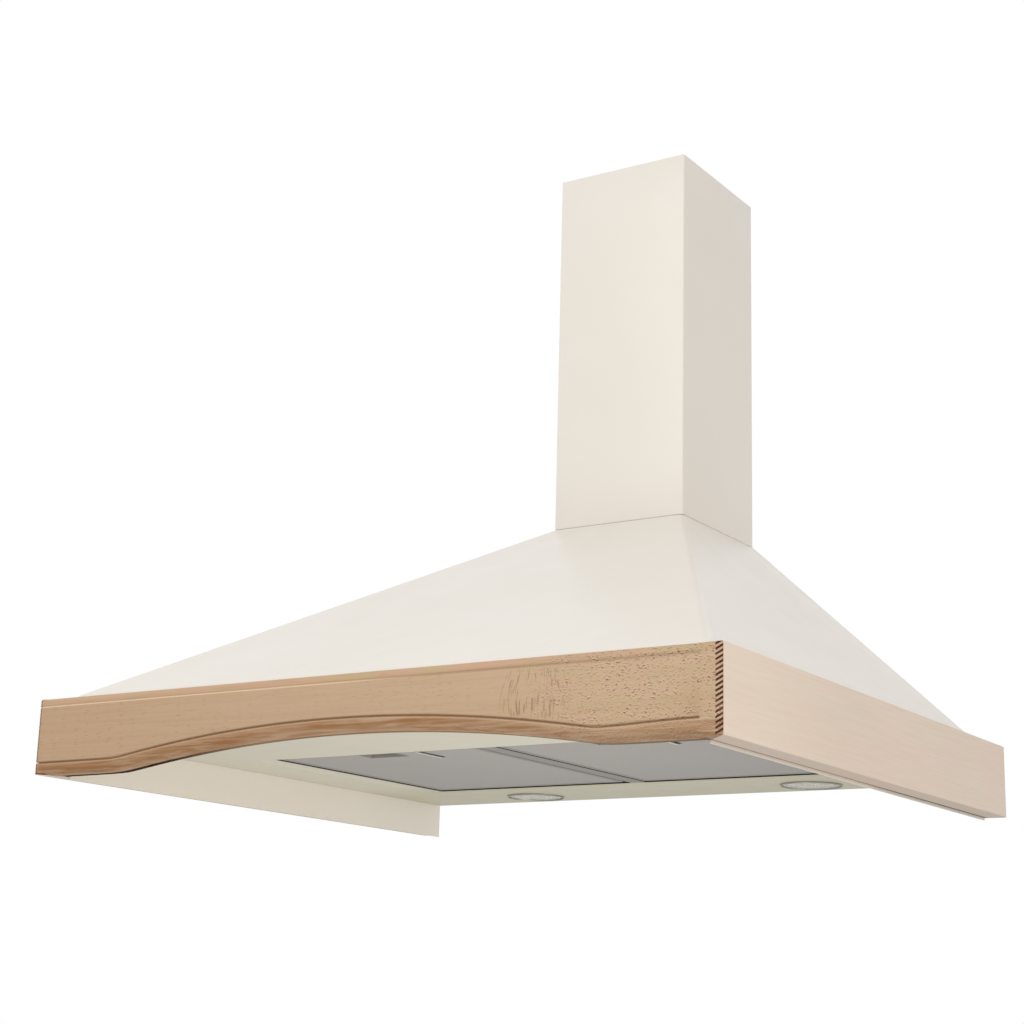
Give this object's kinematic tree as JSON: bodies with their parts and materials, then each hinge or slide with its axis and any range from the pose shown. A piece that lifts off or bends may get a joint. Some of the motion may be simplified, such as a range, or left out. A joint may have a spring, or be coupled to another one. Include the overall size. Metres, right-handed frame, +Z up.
{
  "type": "chimney range hood",
  "caption": "Wall-mounted chimney range hood: pyramid canopy of cream steel, square telescoping chimney cover, arched beech trim, hinged grease filters, lamps and blower.",
  "frame": {"origin": "centre of the bounding box's base: on the plane of the lower rim, midway between the side boards and between the wall and the front board's face", "axes": "+Z up along the chimney cover, +Y towards the wall, +X to the right as a person faces the hood"},
  "size_m": [0.6, 0.53, 0.605],
  "materials": {
    "cream_paint": "smooth satin cream paint",
    "pan_paint": "smooth satin beige-grey paint",
    "beech_face": "clear satin varnish over beech, grain along the board",
    "beech_side": "clear satin varnish over pale beech, grain along the board",
    "zinc_steel": "zinc-plated sheet",
    "filter_aluminium": "dull grey rolled aluminium",
    "screw_steel": "zinc-plated steel",
    "dark_plastic": "fine moulded texture",
    "grey_plastic": "fine moulded texture",
    "white_plastic": "smooth moulded",
    "clear_glass": "clear, polished",
    "lamp_mirror": "polished reflector",
    "lamp_ceramic": "unglazed"
  },
  "bodies": {
    "hood_body": {"canopy_shell": "cream_paint", "back_plate": "zinc_steel", "front_board": "beech_face", "left_side_board": "beech_side", "right_side_board": "beech_side", "chimney_cover_lower": "cream_paint", "bottom_pan": "pan_paint", "filter_crossbar": "filter_aluminium", "control_bezel": "white_plastic", "switch_block": "dark_plastic", "blower_housing_left": "dark_plastic", "blower_housing_right": "dark_plastic", "motor": "zinc_steel", "motor_spider": "zinc_steel", "outlet_collar": "dark_plastic", "flap_pin": "screw_steel", "capacitor": "white_plastic", "lamp_transformer": "white_plastic", "terminal_box": "dark_plastic", "terminal_box_lid": "dark_plastic", "cable_gland": "dark_plastic", "left_lamp_ring": "cream_paint", "left_lamp_glass": "clear_glass", "left_lamp_reflector": "lamp_mirror", "left_lamp_bulb": "clear_glass", "left_lamp_holder": "lamp_ceramic", "left_trim_screw_front": "screw_steel", "left_trim_screw_rear": "screw_steel", "front_trim_screw_left": "screw_steel", "right_lamp_ring": "cream_paint", "right_lamp_glass": "clear_glass", "right_lamp_reflector": "lamp_mirror", "right_lamp_bulb": "clear_glass", "right_lamp_holder": "lamp_ceramic", "right_trim_screw_front": "screw_steel", "right_trim_screw_rear": "screw_steel", "front_trim_screw_right": "screw_steel", "blower_screw_1": "screw_steel", "blower_screw_2": "screw_steel", "blower_screw_3": "screw_steel", "blower_screw_4": "screw_steel"},
    "upper_cover": {"chimney_cover_upper": "cream_paint", "ceiling_bracket": "zinc_steel"},
    "left_filter": {"left_filter_frame": "filter_aluminium", "left_filter_mesh": "filter_aluminium"},
    "right_filter": {"right_filter_frame": "filter_aluminium", "right_filter_mesh": "filter_aluminium"},
    "left_latch": {"left_filter_latch": "grey_plastic"},
    "right_latch": {"right_filter_latch": "grey_plastic"},
    "rotor": {"impeller": "dark_plastic", "rotor_shaft": "screw_steel", "shaft_nut": "screw_steel"},
    "front_flap": {"front_flap": "grey_plastic"},
    "rear_flap": {"rear_flap": "grey_plastic"},
    "light_button": {"light_button": "white_plastic"},
    "off_button": {"off_button": "white_plastic"},
    "low_button": {"low_button": "white_plastic"},
    "medium_button": {"medium_button": "white_plastic"},
    "high_button": {"high_button": "white_plastic"}
  },
  "joints": [
    {"name": "upper_cover_slide", "type": "slide", "parent": "hood_body", "child": "upper_cover", "axis": [0, 0, 1], "range_m": [0, 0.28]},
    {"name": "left_filter_hinge", "type": "hinge", "parent": "hood_body", "child": "left_filter", "pos_m": [-0.10875, 0.161, 0.0334], "axis": [1, 0, 0], "range_deg": [0, 70]},
    {"name": "left_latch_slide", "type": "slide", "parent": "left_filter", "child": "left_latch", "axis": [0, 1, 0], "range_m": [0, 0.005], "stiffness_N_per_m": 300, "springref_m": -0.002},
    {"name": "right_filter_hinge", "type": "hinge", "parent": "hood_body", "child": "right_filter", "pos_m": [0.10875, 0.161, 0.0334], "axis": [1, 0, 0], "range_deg": [0, 70]},
    {"name": "right_latch_slide", "type": "slide", "parent": "right_filter", "child": "right_latch", "axis": [0, 1, 0], "range_m": [0, 0.005], "stiffness_N_per_m": 300, "springref_m": -0.002},
    {"name": "rotor_spin", "type": "hinge", "parent": "hood_body", "child": "rotor", "pos_m": [0, 0.11342, 0.1494], "axis": [1, 0, 0], "continuous": true},
    {"name": "front_flap_hinge", "type": "hinge", "parent": "hood_body", "child": "front_flap", "pos_m": [0, 0.1941, 0.2713], "axis": [-1, 0, 0], "range_deg": [0, 70]},
    {"name": "rear_flap_hinge", "type": "hinge", "parent": "hood_body", "child": "rear_flap", "pos_m": [0, 0.1941, 0.2713], "axis": [1, 0, 0], "range_deg": [0, 70]},
    {"name": "light_button_press", "type": "slide", "parent": "hood_body", "child": "light_button", "axis": [0, 0, 1], "range_m": [0, 0.003], "stiffness_N_per_m": 300, "springref_m": -0.002},
    {"name": "off_button_press", "type": "slide", "parent": "hood_body", "child": "off_button", "axis": [0, 0, 1], "range_m": [0, 0.003], "stiffness_N_per_m": 300, "springref_m": -0.002},
    {"name": "low_button_press", "type": "slide", "parent": "hood_body", "child": "low_button", "axis": [0, 0, 1], "range_m": [0, 0.003], "stiffness_N_per_m": 300, "springref_m": -0.002},
    {"name": "medium_button_press", "type": "slide", "parent": "hood_body", "child": "medium_button", "axis": [0, 0, 1], "range_m": [0, 0.003], "stiffness_N_per_m": 300, "springref_m": -0.002},
    {"name": "high_button_press", "type": "slide", "parent": "hood_body", "child": "high_button", "axis": [0, 0, 1], "range_m": [0, 0.003], "stiffness_N_per_m": 300, "springref_m": -0.002}
  ]
}
